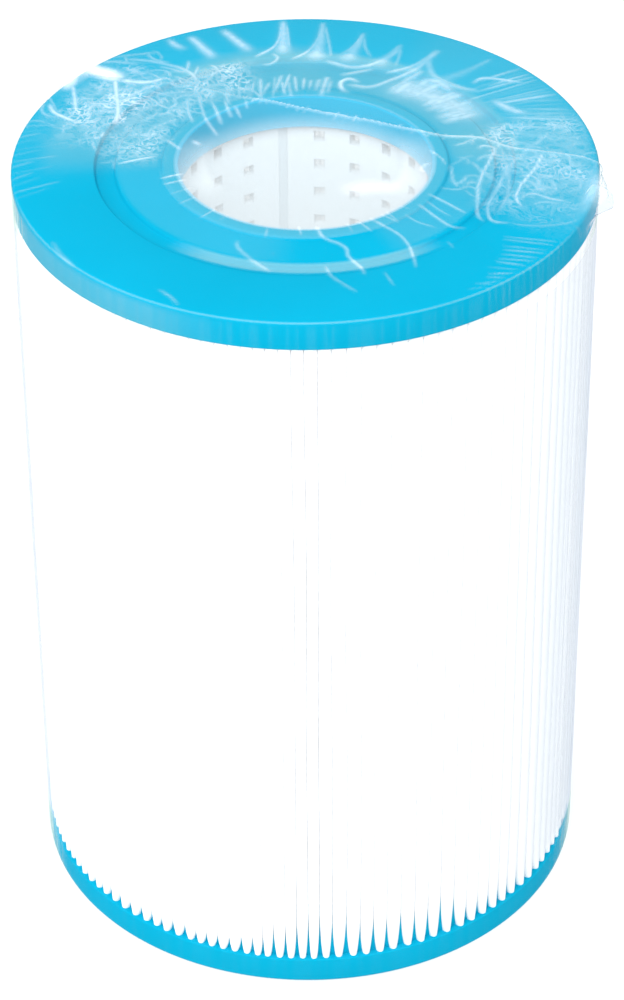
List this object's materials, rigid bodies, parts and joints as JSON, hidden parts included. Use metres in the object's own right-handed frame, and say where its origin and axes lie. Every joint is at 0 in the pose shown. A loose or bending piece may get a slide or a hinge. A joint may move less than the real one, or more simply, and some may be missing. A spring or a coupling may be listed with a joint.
{
  "type": "filter cartridge",
  "caption": "Round pleated water filter cartridge with open, cast end caps and a windowed core tube, for a pool or spa filter housing.",
  "frame": {"origin": "centre of the bottom end cap's outer face, on the cartridge's axis", "axes": "+Z along the cartridge's axis, from the bottom cap to the top cap; -Y is the front"},
  "size_m": [0.125, 0.125, 0.1795],
  "materials": {
    "cap_urethane": "smooth cast urethane, bright cyan blue",
    "filter_cloth": "white spunbonded polyester, matt",
    "seam_adhesive": "hot-melt bead, milky",
    "core_plastic": "white moulded plastic, satin"
  },
  "bodies": {
    "root": {"bottom_end_cap": "cap_urethane", "top_end_cap": "cap_urethane", "pleated_media": "filter_cloth", "media_seam": "seam_adhesive", "core_tube": "core_plastic"}
  },
  "joints": []
}
